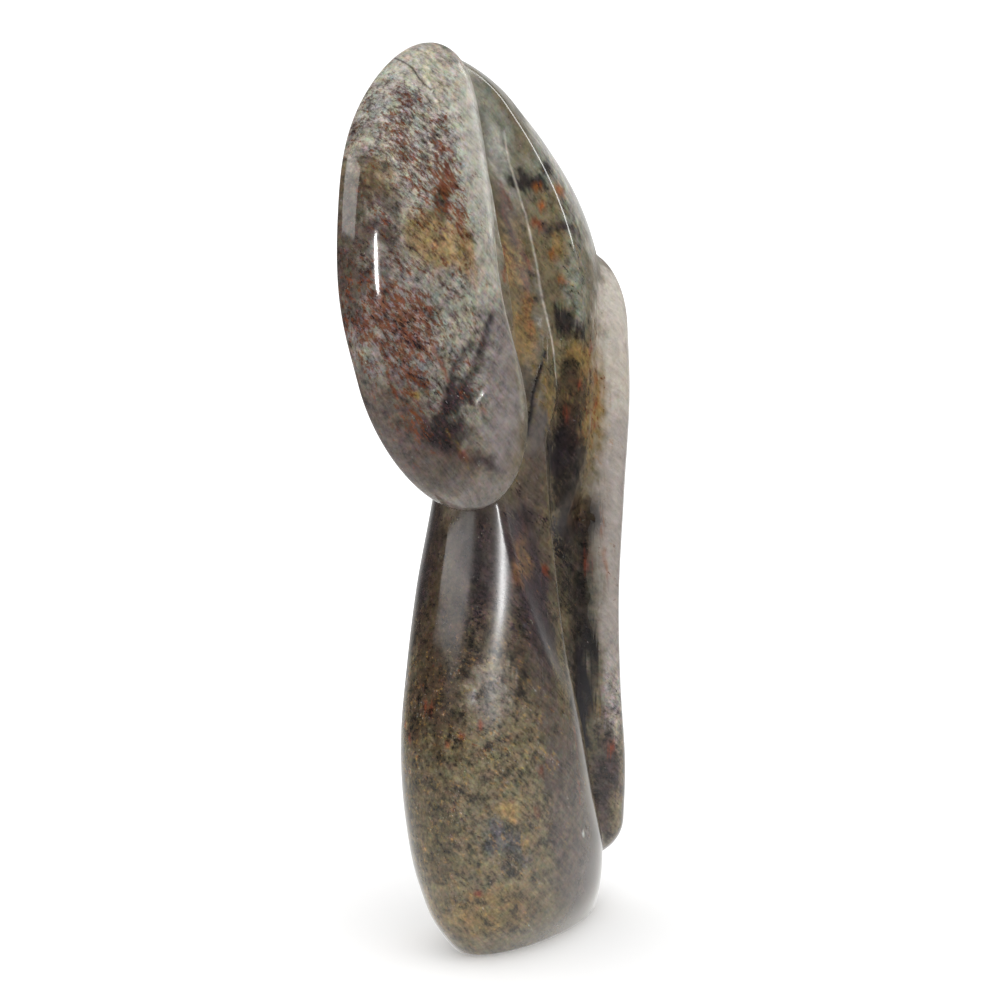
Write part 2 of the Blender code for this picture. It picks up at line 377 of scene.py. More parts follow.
class Skin:
    """The carving's skin together with the fine lines that are cut into it."""

    def __init__(self, form: Carving, grooves: tuple["Groove", ...] = ()) -> None:
        """Keeps the form and its grooves."""
        self.form = form
        self.grooves = grooves

    def distance(self, points: Points) -> Points:
        """Distance of each point to the skin, in shares of the height."""
        away = self.form.distance(points)
        for groove in self.grooves:
            near = groove.near(points)
            if near.any():
                tool = groove.distance(points[near])
                away[near] = cut(away[near], tool, groove.ease)
        return away

    def slope(self, points: Points) -> Points:
        """The direction in which the distance grows at each point."""
        step = self.form.slope_step
        shifts = step * np.eye(3)
        rises = [self.distance(points + way) - self.distance(points - way) for way in shifts]
        return np.stack(rises, axis=1) / (2 * step)

    def settle(self, points: Points, steps: int) -> Points:
        """Moves points near the carving onto its skin.

        Args:
            points: where they are, in shares of the height.
            steps: how many times each is moved.

        Returns:
            The points on the skin.
        """
        for _ in range(steps):
            slope = self.slope(points)
            steepness = np.maximum((slope**2).sum(1), self.form.least_steepness)
            move = -(self.distance(points) / steepness)[:, None] * slope
            length = np.linalg.norm(move, axis=1, keepdims=True)
            points = points + move * self.form.reach / np.maximum(length, self.form.reach)
        return points


@dataclass(frozen=True)
class PhotoCamera:
    """The photograph's camera. Angles are in degrees, lengths in metres, picture sizes in pixels."""

    azimuth: float = -56.0
    elevation: float = 12.0
    distance: float = 0.85
    aim_height: float = 0.127
    focal: float = 3068.0
    middle: tuple[float, float] = (512.0, 497.0)
    picture: float = 1000.0
    sensor: float = 36.0

    def axes(self) -> tuple[Vector, Vector, Vector]:
        """The directions right, up and back towards the camera."""
        turn = math.radians(self.azimuth)
        back = heading(self.azimuth, self.elevation)
        right = Vector((math.cos(turn), math.sin(turn), 0.0))
        return right, back.cross(right), back

    def eye(self) -> Vector:
        """Where the camera stands."""
        return Vector((0.0, 0.0, self.aim_height)) + self.distance * self.axes()[2]

    def ray(self, pixel: tuple[float, float]) -> Vector:
        """The direction in which the camera sees a pixel."""
        right, up, back = self.axes()
        across = (pixel[0] - self.middle[0]) / self.focal
        above = (self.middle[1] - pixel[1]) / self.focal
        return (right * across + up * above - back).normalized()

    def pixel_size(self) -> float:
        """What one pixel covers at the carving, in metres."""
        return self.distance / self.focal

    def build(self) -> bpy.types.Object:
        """Makes the camera and lets the scene look through it."""
        lens = bpy.data.cameras.new("photo_camera")
        lens.sensor_width = self.sensor
        lens.lens = self.focal * self.sensor / self.picture
        lens.shift_x = (self.picture / 2 - self.middle[0]) / self.picture
        lens.shift_y = (self.middle[1] - self.picture / 2) / self.picture
        item = placed("photo_camera", lens)
        right, up, back = self.axes()
        turn = Matrix((right, up, back)).transposed().to_4x4()
        item.matrix_world = Matrix.Translation(self.eye()) @ turn
        bpy.context.scene.camera = item
        return item


class Groove:
    """A round-bottomed cut along a path of points, in shares of the height."""

    def __init__(self, path: Points, radius: Points, ease: float) -> None:
        """Keeps the path, the radius at each of its points and how much the cut's edge is eased."""
        self.path = path
        self.radius = radius
        self.ease = ease
        self.margin = float(radius.max()) + EASE_REACH * ease

    def near(self, points: Points) -> Points:
        """Which points lie in the box around the path."""
        low, high = self.path.min(0) - self.margin, self.path.max(0) + self.margin
        return ((points > low) & (points < high)).all(1)

    def distance(self, points: Points) -> Points:
        """Distance of each point to the cut's tool."""
        best = np.full(len(points), np.inf)
        for start, end, thin, thick in zip(self.path, self.path[1:], self.radius, self.radius[1:]):
            way = end - start
            share = np.clip((points - start) @ way / (way @ way), 0.0, 1.0)
            gap = np.linalg.norm(points - start - share[:, None] * way, axis=1)
            best = np.minimum(best, gap - (thin + share * (thick - thin)))
        return best


@dataclass(frozen=True)
class Stroke:
    """A fine line cut into the stone. It follows pixels of the photograph; its sizes are in metres.

    The shares are what is left of its width and depth at its two ends.
    """

    pixels: Pixels
    width: float
    depth: float
    ease: float = 0.0002
    start_share: float = 0.3
    end_share: float = 0.3


class Surface:
    """The stone's mesh as a surface on which pixels of the photograph find their place."""

    def __init__(self, mesh: bpy.types.Mesh, camera: PhotoCamera) -> None:
        """Sorts the mesh's faces for finding hits."""
        corners = [point.co for point in mesh.vertices]
        faces = [tuple(face.vertices) for face in mesh.polygons]
        self.tree = BVHTree.FromPolygons(corners, faces)
        self.camera = camera

    def place(self, pixel: tuple[float, float]) -> Vector | None:
        """The point of the stone that a pixel shows, in metres, or nothing off the stone."""
        spot, _, _, _ = self.tree.ray_cast(self.camera.eye(), self.camera.ray(pixel))
        return spot

    def trace(self, pixels: Pixels, pace: float = 3.0, fewest: int = 3) -> Points:
        """Points of the stone along a smooth line through pixels.

        Args:
            pixels: the photograph's pixels that the line passes.
            pace: how far apart the points are, in pixels.
            fewest: how many points a short line has.

        Returns:
            The points in shares of the height.
        """
        knots = np.array(pixels, float)
        run = np.concatenate([[0.0], np.cumsum(np.linalg.norm(np.diff(knots, axis=0), axis=1))])
        steps = np.linspace(0.0, run[-1], max(fewest, int(run[-1] / pace)))
        if len(knots) > 2:
            line = np.stack([flow(run, knots[:, k], steps) for k in (0, 1)], axis=1)
        else:
            line = np.stack([np.interp(steps, run, knots[:, k]) for k in (0, 1)], axis=1)
        spots = [self.place(tuple(pixel)) for pixel in line]
        return np.array([spot for spot in spots if spot is not None]) / HEIGHT


class Tone(Enum):
    """Ground colours of the stone, as plain linear colour. Some also paint highlights, glints and shade."""

    CHALK = (0.62, 0.60, 0.56)
    CREAM = (0.37, 0.34, 0.28)
    PALE_GREEN = (0.33, 0.315, 0.265)
    GREY_GREEN = (0.24, 0.225, 0.185)
    LILAC = (0.18, 0.155, 0.145)
    PINK_GREY = (0.44, 0.395, 0.34)
    MAUVE = (0.31, 0.275, 0.25)
    BROWN_GREY = (0.078, 0.058, 0.046)
    OCHRE = (0.20, 0.125, 0.042)
    GOLD = (0.22, 0.130, 0.030)
    SAGE = (0.165, 0.165, 0.130)
    OLIVE = (0.145, 0.100, 0.040)
    OLIVE_GREY = (0.118, 0.093, 0.052)
    MOSS = (0.062, 0.046, 0.022)
    BLUE_GREY = (0.058, 0.058, 0.060)
    UMBER = (0.040, 0.025, 0.014)
    PLUM = (0.038, 0.026, 0.028)
    INK = (0.010, 0.007, 0.009)
    RUST = (0.15, 0.032, 0.012)
    ORANGE = (0.21, 0.062, 0.012)


class Mineral(Enum):
    """What is sprinkled through the ground, and where the polish is dull; the mesh stores how much."""

    RUST = "rust"
    VIOLET = "violet"
    DARK = "dark"
    OCHRE = "ochre"
    PALE = "pale"
    GRAIN = "grain"
    DULL = "dull"


@dataclass(frozen=True)
class Patch:
    """A soft-edged oval of one tone or mineral. Centre and half sizes are pixels of the photograph.

    The tilt turns the oval's length from the picture's right towards its top, in degrees. The depth is
    how far it reaches along the line of sight, in metres.
    """

    centre: tuple[float, float]
    half: tuple[float, float]
    what: Tone | Mineral
    strength: float = 1.0
    tilt: float = 0.0
    depth: float = 0.014


def dabs(what: Tone | Mineral, *rows: tuple[float, ...]) -> tuple[Patch, ...]:
    """Several patches of one tone or mineral.

    Args:
        what: the tone or mineral.
        rows: for each patch its centre, its half sizes and, where they are given, the rest of its fields.

    Returns:
        The patches in the same order.
    """
    return tuple(Patch((x, y), (long, wide), what, *rest) for x, y, long, wide, *rest in rows)


@dataclass(frozen=True)
class Vein:
    """A narrow line of one tone along pixels of the photograph; its half width is in metres.

    Raggedness is how closely it follows the wander that makes the patches' edges ragged.
    """

    pixels: Pixels
    half_width: float
    tone: Tone
    strength: float = 1.0
    raggedness: float = 0.3


@dataclass(frozen=True)
class Cloud:
    """A layer of noise: its clouds to the unit of place, its finer layers, and how strong those are."""

    scale: float
    detail: float = 1.0
    harshness: float = 0.5


class Value:
    """A socket that carries a number; Python's operators on it add Math nodes."""

    def __init__(self, web: "NodeWeb", socket: Link) -> None:
        """Keeps the web that the socket belongs to."""
        self.web = web
        self.socket = socket

    def _math(self, operation: str, one: Any, other: Any) -> "Value":
        """A Math node's result for two numbers or values."""
        node = self.web.add("ShaderNodeMath", {"operation": operation}, {0: one, 1: other})
        return Value(self.web, node.outputs[0])

    def __add__(self, other: Any) -> "Value":
        """Sum."""
        return self._math("ADD", self, other)

    def __radd__(self, other: Any) -> "Value":
        """Sum with a number on the left."""
        return self._math("ADD", other, self)

    def __sub__(self, other: Any) -> "Value":
        """Difference."""
        return self._math("SUBTRACT", self, other)

    def __rsub__(self, other: Any) -> "Value":
        """Difference from a number on the left."""
        return self._math("SUBTRACT", other, self)

    def __mul__(self, other: Any) -> "Value":
        """Product."""
        return self._math("MULTIPLY", self, other)

    def __rmul__(self, other: Any) -> "Value":
        """Product with a number on the left."""
        return self._math("MULTIPLY", other, self)

    def clamped(self, low: float = 0.0, high: float = 1.0) -> "Value":
        """The number held between two bounds."""
        node = self.web.add("ShaderNodeClamp", {}, {"Value": self, "Min": low, "Max": high})
        return Value(self.web, node.outputs[0])


class NodeWeb:
    """A material's or a world's nodes, added one by one."""

    def __init__(self, tree: bpy.types.NodeTree) -> None:
        """Keeps the node tree."""
        self.tree = tree

    def add(self, kind: str, settings: dict[str, Any], inputs: dict[Any, Any]) -> bpy.types.Node:
        """Adds one node.

        Args:
            kind: the node's type.
            settings: its properties, which are set first.
            inputs: a number, colour, socket or Value for each socket's name or place.

        Returns:
            The new node.
        """
        node = self.tree.nodes.new(kind)
        for name, value in settings.items():
            setattr(node, name, value)
        for name, value in inputs.items():
            self.feed(node.inputs[name], value)
        return node

    def feed(self, socket: Link, value: Any) -> None:
        """Links a socket to another one, or gives it a plain value."""
        if isinstance(value, Value):
            value = value.socket
        if isinstance(value, bpy.types.NodeSocket):
            self.tree.links.new(value, socket)
        else:
            socket.default_value = value

    def attribute(self, name: str) -> bpy.types.Node:
        """Reads what the mesh stores under a name."""
        return self.add("ShaderNodeAttribute", {"attribute_name": name}, {})

    def density(self, mineral: Mineral) -> Value:
        """How densely a mineral is sprinkled, from the mesh."""
        return Value(self, self.attribute(mineral.value).outputs["Fac"])

    def vector(self, operation: str, one: Any, other: Any) -> Link:
        """A Vector Math node's vector."""
        node = self.add("ShaderNodeVectorMath", {"operation": operation}, {0: one, 1: other})
        return node.outputs["Vector"]

    def dot(self, one: Any, other: Any) -> Value:
        """The product of two vectors as a number."""
        node = self.add("ShaderNodeVectorMath", {"operation": "DOT_PRODUCT"}, {0: one, 1: other})
        return Value(self, node.outputs["Value"])

    def mixed(self, factor: Any, one: Any, other: Any, blend: str = "MIX") -> Link:
        """Two colours mixed by a factor."""
        node = self.add(
            "ShaderNodeMix",
            {"data_type": "RGBA", "blend_type": blend},
            {MIX_FACTOR: factor, MIX_FIRST: one, MIX_SECOND: other},
        )
        return node.outputs[MIX_RESULT]

    def grey(self, value: Value) -> Link:
        """The number in all three channels of a colour."""
        return self.add("ShaderNodeCombineXYZ", {}, {0: value, 1: value, 2: value}).outputs[0]

    def cloudy(self, place: Link, cloud: Cloud) -> bpy.types.Node:
        """A noise node."""
        return self.add(
            "ShaderNodeTexNoise",
            {"noise_dimensions": "3D"},
            {"Vector": place, "Scale": cloud.scale, "Detail": cloud.detail, "Roughness": cloud.harshness},
        )

    def noise(self, place: Link, cloud: Cloud) -> Value:
        """Cloudy noise around MIDDLE."""
        return Value(self, self.cloudy(place, cloud).outputs["Fac"])

    def noise_colour(self, place: Link, cloud: Cloud) -> Link:
        """Noise around MIDDLE with three independent channels."""
        return self.cloudy(place, cloud).outputs["Color"]


@dataclass(frozen=True)
class Lot:
    """One mineral's specks: colour, own place in the noise, fineness, and how rare and crisp they are."""

    mineral: Mineral
    tint: tuple[float, float, float, float]
    shift: float
    fineness: float
    rare: float
    crispness: float
    strength: float


@dataclass(frozen=True)
class PolishedStone:
    """Veined soft stone with a wax polish.

    The bedding, upright and level ways are the grain's own axes. Speck sizes are in metres along and
    across the bedding. Each contrast has a part that grows with the grain's density and a part that
    is the same everywhere.
    """

    bedding: tuple[float, float, float] = (0.74, 0.0, -0.67)
    upright: tuple[float, float, float] = (0.67, 0.0, 0.74)
    level: tuple[float, float, float] = (0.0, 1.0, 0.0)
    speck_length: float = 0.0022
    speck_width: float = 0.00072
    bend: tuple[float, float, float] = (0.8, 2.4, 2.4)  # how far noise bends the bedding, in specks
    bend_cloud: Cloud = Cloud(90.0)
    lots: tuple[Lot, ...] = (
        Lot(Mineral.OCHRE, (0.28, 0.16, 0.040, 1.0), 3.1, 0.6, 0.68, 6.0, 0.75),
        Lot(Mineral.PALE, (0.42, 0.40, 0.36, 1.0), 17.3, 1.1, 0.69, 9.0, 0.70),
        Lot(Mineral.VIOLET, (0.060, 0.032, 0.036, 1.0), 7.7, 0.75, 0.68, 6.0, 0.80),
        Lot(Mineral.RUST, (0.110, 0.030, 0.009, 1.0), 29.1, 0.7, 0.69, 9.0, 0.82),
        Lot(Mineral.DARK, (0.011, 0.007, 0.009, 1.0), 41.9, 0.9, 0.69, 10.0, 0.92),
    )
    lot_ways: tuple[float, float, float] = (1.0, 0.7, -1.0)  # the way in which a lot's noise is shifted
    speck_detail: float = 4.0
    speck_harshness: float = 0.72
    density_pull: float = 0.35  # how much a mineral's density helps its specks to show
    cluster: float = 0.35  # how much the bands do
    bands: Cloud = Cloud(0.16, 2.0, 0.6)
    grain: Cloud = Cloud(1 / 0.0011, 3.0, 0.7)
    cloud: Cloud = Cloud(260.0, 3.0, 0.6)
    streak: Cloud = Cloud(0.8, 4.0, 0.7)
    streak_squeeze: tuple[float, float, float] = (0.3, 0.8, 0.8)
    streak_contrast: tuple[float, float] = (1.7, 0.25)
    cloud_contrast: tuple[float, float] = (1.5, 0.3)
    light_range: tuple[float, float] = (0.2, 2.2)
    broad_tint: Cloud = Cloud(1.3)
    fine_tint: Cloud = Cloud(420.0)
    fine_tint_share: float = 0.5
    tint_swing: tuple[float, float, float] = (0.95, 0.6, 1.0)
    tint_range: tuple[float, float] = (0.15, 1.0)
    refraction: float = 1.5
    roughness: float = 0.09
    dulling: float = 0.14
    roughness_swing: float = 0.06
    bump: float = 0.05
    bump_height: float = 0.0002
    grain_relief: float = 0.3

    def bedded_place(self, web: NodeWeb) -> Link:
        """Coordinates drawn out along the bedding, so that round noise becomes streaks."""
        place = web.add("ShaderNodeTexCoord", {}, {}).outputs["Object"]
        wander = web.vector("SUBTRACT", web.noise_colour(place, self.bend_cloud), MIDDLE_GREY)
        along = web.dot(place, self.bedding) * (1 / self.speck_length)
        across = web.dot(place, self.upright) * (1 / self.speck_width)
        level = web.dot(place, self.level) * (1 / self.speck_width)
        bedded = web.add("ShaderNodeCombineXYZ", {}, {0: along, 1: across, 2: level}).outputs[0]
        return web.vector("ADD", bedded, web.vector("MULTIPLY", wander, self.bend))

    def specks(self, web: NodeWeb, place: Link, lot: Lot, bands: Value) -> Value:
        """Where one mineral's specks are.

        Args:
            web: the material's nodes.
            place: the bedded coordinates.
            lot: the mineral and its specks' look.
            bands: broad noise that gathers the specks.

        Returns:
            A mask with slightly soft edges.
        """
        moved = web.vector("ADD", place, tuple(lot.shift * way for way in self.lot_ways))
        cloud = web.noise(moved, Cloud(lot.fineness, self.speck_detail, self.speck_harshness))
        edge = lot.rare - web.density(lot.mineral) * self.density_pull - (bands - MIDDLE) * self.cluster
        return ((cloud - edge) * lot.crispness).clamped() * lot.strength

    def material(self) -> bpy.types.Material:
        """The finished stone as a material."""
        stone = bpy.data.materials.new("polished_stone")
        stone.use_nodes = True
        web = NodeWeb(stone.node_tree)
        surface = stone.node_tree.nodes["Principled BSDF"]
        place = self.bedded_place(web)
        own = web.add("ShaderNodeTexCoord", {}, {}).outputs["Object"]
        grain = web.noise(own, self.grain)
        streak = web.noise(web.vector("MULTIPLY", place, self.streak_squeeze), self.streak)
        cloud = web.noise(own, self.cloud)
        rough = web.density(Mineral.GRAIN)
        streak_swing, streak_base = self.streak_contrast
        cloud_swing, cloud_base = self.cloud_contrast
        light = 1.0 + (grain - MIDDLE) * rough + (streak - MIDDLE) * (rough * streak_swing + streak_base)
        light = (light + (cloud - MIDDLE) * (rough * cloud_swing + cloud_base)).clamped(*self.light_range)
        broad = web.noise_colour(place, self.broad_tint)
        tints = web.mixed(self.fine_tint_share, broad, web.noise_colour(own, self.fine_tint))
        tint = web.vector("MULTIPLY", web.vector("SUBTRACT", tints, MIDDLE_GREY), self.tint_swing)
        tint = web.vector("MULTIPLY", tint, web.grey(rough.clamped(*self.tint_range)))
        tint = web.vector("ADD", tint, WHITE)
        bands = web.noise(place, self.bands)
        colour = web.attribute("ground").outputs["Color"]
        for lot in self.lots:
            colour = web.mixed(self.specks(web, place, lot, bands), colour, lot.tint)
        colour = web.mixed(1.0, colour, web.vector("MULTIPLY", web.grey(light), tint), "MULTIPLY")
        web.feed(surface.inputs["Base Color"], colour)
        polish = self.roughness + (streak - MIDDLE) * self.roughness_swing
        polish = polish + web.density(Mineral.DULL) * self.dulling
        web.feed(surface.inputs["Roughness"], polish)
        height = cloud + grain * self.grain_relief
        relief = web.add(
            "ShaderNodeBump", {}, {"Strength": self.bump, "Distance": self.bump_height, "Height": height}
        )
        web.feed(surface.inputs["Normal"], relief.outputs["Normal"])
        surface.inputs["IOR"].default_value = self.refraction
        return stone


@dataclass
class ElephantHead:
    """The carved stone: a fine mesh on the solid's form, with its cuts, chips and colours.

    Lengths are in metres. The wander's layers are strength, fineness and own place in the noise.
    """

    camera: PhotoCamera
    form: Carving = field(default_factory=Carving)
    finish: PolishedStone = field(default_factory=PolishedStone)
    grain: float = 0.00062
    quick_grain: float = 0.0016
    faces: int = 110_000
    weld: float = 0.00001
    fine_edge: float = 0.00035
    refine_rounds: int = 2
    settle_steps: int = 4
    last_settle_steps: int = 2
    stroke_taper: float = 0.6  # of a stroke's run of pi, at each end
    vein_ease: float = 2.0  # in half widths of the vein
    base_tone: Tone = Tone.OLIVE_GREY
    base_grain: float = 0.6
    patch_hardness: int = 4
    small_patch: float = 6.0  # up to this half width, in pixels, a patch keeps a clean edge
    wander: float = 0.0032
    wander_seed: int = 1  # without one, the noise differs from run to run
    wander_layers: tuple[tuple[float, float, float], ...] = (
        (1.0, 1.0, 0.0),
        (0.6, 2.7, 5.0),
        (0.35, 7.0, -3.0),
    )
    streak_sizes: tuple[float, float, float] = (0.012, 0.004, 0.004)

    strokes: tuple[Stroke, ...] = (
        Stroke(((541, 364), (534, 384), (528, 418), (527, 433)), 0.0007, 0.0004),
        Stroke(((580, 820), (585, 827), (591, 833)), 0.0008, 0.0008),
        Stroke(((587, 719), (589, 751), (590, 776)), 0.0006, 0.0008),
        Stroke(((493, 318), (482, 349), (475, 372), (461, 393)), 0.0060, 0.0003, 0.0015),
        Stroke(((473, 341), (461, 360), (450, 387)), 0.0060, 0.0003, 0.0015),
        Stroke(((478, 401), (483, 393)), 0.0009, 0.0003),
    )
    veins: tuple[Vein, ...] = (
        Vein(((391, 57), (401, 61), (412, 68), (419, 78), (430, 89), (438, 99), (449, 109)),
             0.0003, Tone.PLUM, 0.9, 0.05),
        # The ear's two folds: dark lines along their cuts, partly dark stone, partly painted shade in the
        # creases.
        Vein(((493, 318), (482, 349), (475, 372), (461, 393), (447, 413)), 0.0018, Tone.INK, 0.85, 0.3),
        Vein(((473, 341), (461, 360), (450, 387), (446, 405)), 0.0015, Tone.INK, 0.85, 0.3),
        # Painted shade: a dark line in the slit beside the face.
        Vein(((545, 352), (541, 367), (535, 387), (529, 422), (527, 437)), 0.0006, Tone.INK, 0.95, 0.1),
        # Painted highlight: a pale cream line along the crest between the hollow and the face, where the
        # polished edge catches light.
        Vein(((504, 132), (508, 156), (518, 190), (527, 222), (535, 256), (542, 296), (552, 342), (557, 389)),
             0.0004, Tone.CREAM, 0.8, 0.05),
        Vein(((557, 390), (556, 405), (550, 425), (545, 445)), 0.0004, Tone.PLUM, 0.7),
        Vein(((498, 175), (501, 186), (509, 222), (525, 261), (528, 287)), 0.0010, Tone.RUST, 0.8, 0.5),
        Vein(((505, 205), (510, 224), (517, 245)), 0.0006, Tone.UMBER, 0.8),
        Vein(((504, 248), (505, 266), (505, 282)), 0.0006, Tone.RUST, 0.7),
        Vein(((600, 510), (603, 535), (608, 575)), 0.0006, Tone.ORANGE, 0.55, 0.4),
        Vein(((446, 433), (456, 445), (462, 458), (472, 476)), 0.0004, Tone.GOLD, 0.5, 0.4),
        Vein(((340, 162), (355, 158), (370, 160), (386, 166), (396, 166)), 0.0005, Tone.UMBER, 0.75),
        Vein(((433, 195), (446, 211), (457, 225), (473, 236)), 0.0005, Tone.PLUM, 0.7),
        Vein(((407, 370), (416, 381), (426, 390)), 0.0006, Tone.INK, 0.8),
        Vein(((386, 369), (391, 384), (397, 398)), 0.0005, Tone.RUST, 0.8),
        Vein(((375, 289), (388, 297), (398, 305)), 0.0006, Tone.UMBER, 0.8),
        Vein(((433, 345), (440, 362), (448, 380)), 0.0007, Tone.RUST, 0.8),
        Vein(((574, 730), (577, 760), (578, 803)), 0.0009, Tone.RUST, 0.45, 0.6),
        # Painted glint: a white dash on the nick in the lobe.
        Vein(((478, 401), (483, 393)), 0.0005, Tone.CHALK, 1.0, 0.0),
        # Painted highlight: a pale cream line along the ear's front rim.
        Vein(((500, 285), (505, 311), (514, 349), (520, 380), (523, 418)), 0.0010, Tone.CREAM, 0.45, 0.2),
    )
    patches: tuple[Patch, ...] = (
        # The ear: grounds, then the dark folds, whose darkness is partly painted shade.
        *dabs(Tone.GREY_GREEN, (430, 280, 260, 120, 1.0, 90, 0.03)),
        *dabs(Tone.PALE_GREEN, (425, 110, 78, 62, 1.0, -40)),
        # Cream at the crown: partly stone colour, partly painted light where the top faces the light.
        *dabs(Tone.CREAM, (395, 150, 40, 26, 0.45, -40), (440, 72, 50, 24, 0.9)),
        # The first strip is partly painted sheen along the ear's front rim, where its rounding catches the
        # light.
        *dabs(Tone.PALE_GREEN, (487, 200, 120, 16, 0.9, -80), (412, 190, 36, 18, 0.8, -55)),
        *dabs(Tone.OCHRE, (372, 180, 20, 14, 0.6)),
        *dabs(Tone.MOSS, (438, 206, 18, 11, 0.9, 70)),
        *dabs(Tone.GOLD, (430, 244, 30, 20, 0.7, -40)),
        *dabs(Tone.OCHRE, (465, 250, 26, 12, 0.8, -70)),
        *dabs(Tone.LILAC, (365, 290, 70, 24, 0.5, 80), (405, 325, 80, 40, 0.55, -55)),
        *dabs(Tone.GREY_GREEN, (452, 335, 34, 17, 0.9, -55)),
        # Darker brown-grey low on the ear: partly stone colour, partly painted shade toward the ear's bottom.
        *dabs(Tone.BROWN_GREY, (400, 440, 90, 36, 1.0, -60)),
        *dabs(Tone.LILAC, (385, 330, 70, 30, 0.5, -60)),
        # Partly painted shade, as above, low on the ear.
        *dabs(Tone.BROWN_GREY, (442, 458, 54, 28, 1.0, -50)),
        # Dark umber along the ear's back edge, on the side away from the light: partly stone colour, partly
        # painted shade.
        *dabs(Tone.UMBER, (340, 245, 80, 11, 0.8, 90), (410, 480, 50, 14, 0.4, -45)),
        *dabs(Tone.LILAC, (500, 400, 95, 26, 1.0, -85), (475, 496, 45, 16, 0.6, 20)),
        # Dark crease and pit at the folds' lower ends: partly painted shade.
        *dabs(Tone.INK, (453, 400, 20, 12, 0.85, 55), (440, 433, 24, 15, 0.85, -30)),
        *dabs(Tone.PLUM, (484, 462, 18, 9, 0.9, -20)),
        *dabs(Tone.RUST, (464, 456, 7, 5, 0.35, -50)),
        # The ridged face and the hollow between it and the ear.
        *dabs(Tone.SAGE, (560, 200, 120, 34, 1.0, -62)),
        *dabs(Tone.OLIVE_GREY, (552, 238, 64, 20, 0.9, -72)),
        *dabs(Tone.SAGE, (500, 140, 70, 14, 1.0, -75)),
        # Partly painted reflection: pale strips on the face beyond its ridge, where the surface turns to a
        # grazing angle.
        *dabs(Tone.PALE_GREEN, (545, 145, 75, 9, 0.8, -55), (576, 205, 60, 9, 0.8, -65)),
        *dabs(Tone.OLIVE, (513, 250, 80, 14, 1.0, -78)),
        *dabs(Tone.UMBER, (506, 210, 36, 7, 0.7, -78)),
        *dabs(Tone.GOLD, (507, 265, 24, 6, 0.6, -85)),
        # Partly painted sheen along the ear's front rim.
        *dabs(Tone.PALE_GREEN, (500, 165, 40, 8, 0.7, -75)),
        *dabs(Tone.OLIVE, (520, 320, 50, 13, 0.8, -78)),
        *dabs(Tone.GOLD, (517, 345, 30, 7, 0.6, -78)),
        *dabs(Tone.UMBER, (528, 385, 24, 7, 0.7, -80)),
        *dabs(Tone.OCHRE, (518, 273, 13, 6, 0.7, -70)),
        *dabs(Tone.ORANGE, (527, 318, 24, 7, 0.4, -80)),
        *dabs(Tone.GOLD, (531, 355, 16, 5, 0.6, -80)),
        *dabs(Tone.OLIVE, (548, 400, 26, 8, 1.0, -85)),
        *dabs(Tone.BROWN_GREY, (538, 440, 44, 10, 1.0, -88), (530, 490, 44, 16, 0.9, 85)),
        *dabs(Tone.GOLD, (557, 245, 14, 8, 0.5, -60)),
        *dabs(Tone.SAGE, (575, 290, 34, 13, 0.9, -80)),
        *dabs(Tone.INK, (530, 181, 15, 9, 0.9), (546, 168, 5, 7, 0.9)),
        *dabs(Tone.PLUM, (568, 228, 10, 8, 0.9), (547, 229, 8, 6, 0.8)),
        *dabs(Tone.ORANGE, (560, 190, 6, 5, 0.8, -40), (542, 205, 4, 4, 0.9), (538, 187, 5, 4, 0.7)),
        *dabs(Tone.RUST, (537, 224, 5, 5, 0.8)),
        *dabs(Tone.ORANGE, (552, 255, 4, 5, 0.8), (562, 279, 5, 5, 0.7)),
        *dabs(Tone.INK, (568, 323, 15, 10, 0.9)),
        # The trunk. Its pale tones are partly the stone's colour, partly painted reflection on its grazing
        # right side.
        *dabs(Tone.PINK_GREY, (621, 340, 130, 26, 0.95, 90, 0.03)),
        *dabs(Tone.MAUVE, (620, 500, 100, 22, 0.97, 90, 0.03), (615, 645, 100, 19, 0.95, 90, 0.03)),
        *dabs(Tone.OLIVE_GREY, (602, 775, 50, 14, 0.75, 90, 0.03), (594, 660, 70, 6, 0.7, 90)),
        *dabs(Tone.OCHRE, (600, 400, 60, 6, 0.35, 90)),
        *dabs(Tone.BROWN_GREY, (604, 790, 60, 12, 0.9, 90, 0.03)),
        # The hollow behind the trunk; its darkest patches are partly painted shade.
        *dabs(Tone.OLIVE, (584, 358, 22, 16)),
        *dabs(Tone.OCHRE, (590, 405, 50, 10, 0.8, 90)),
        *dabs(Tone.UMBER, (570, 398, 48, 14, 0.9, 90)),
        *dabs(Tone.GOLD, (580, 352, 16, 8, 0.35)),
        *dabs(Tone.UMBER, (575, 381, 18, 5, 0.9), (573, 409, 17, 5, 0.9)),
        *dabs(Tone.OLIVE, (578, 395, 16, 4, 0.8)),
        *dabs(Tone.UMBER,
             (586, 381, 10, 3, 0.8), (583, 393, 12, 4, 0.8), (566, 425, 24, 10, 0.9, 90)),
        *dabs(Tone.RUST,
             (591, 346, 3, 4, 0.9), (595, 379, 3, 3, 0.9), (578, 386, 4, 3, 0.8), (595, 403, 3, 4, 0.9),
             (566, 411, 4, 4, 0.8), (592, 426, 4, 3, 0.9), (577, 438, 4, 4, 0.8)),
        # The next three dabs, near-black and umber in the deepest part of the hollow and the top of the
        # groove, are partly dark stone, partly painted shade.
        *dabs(Tone.INK,
             (568, 468, 54, 23, 0.85, 90), (556, 452, 20, 9, 0.9, 90), (570, 525, 34, 16),
             (586, 527, 11, 11, 0.9)),
        *dabs(Tone.UMBER, (577, 514, 26, 22, 0.8)),
        *dabs(Tone.INK, (572, 570, 46, 18, 0.8, 90), (577, 640, 70, 16, 0.8, 90)),
        # The neck and the foot.
        *dabs(Tone.OLIVE_GREY, (500, 800, 190, 110, 1.0, 90, 0.05)),
        *dabs(Tone.PLUM, (490, 560, 60, 40, 0.85, 90, 0.03)),
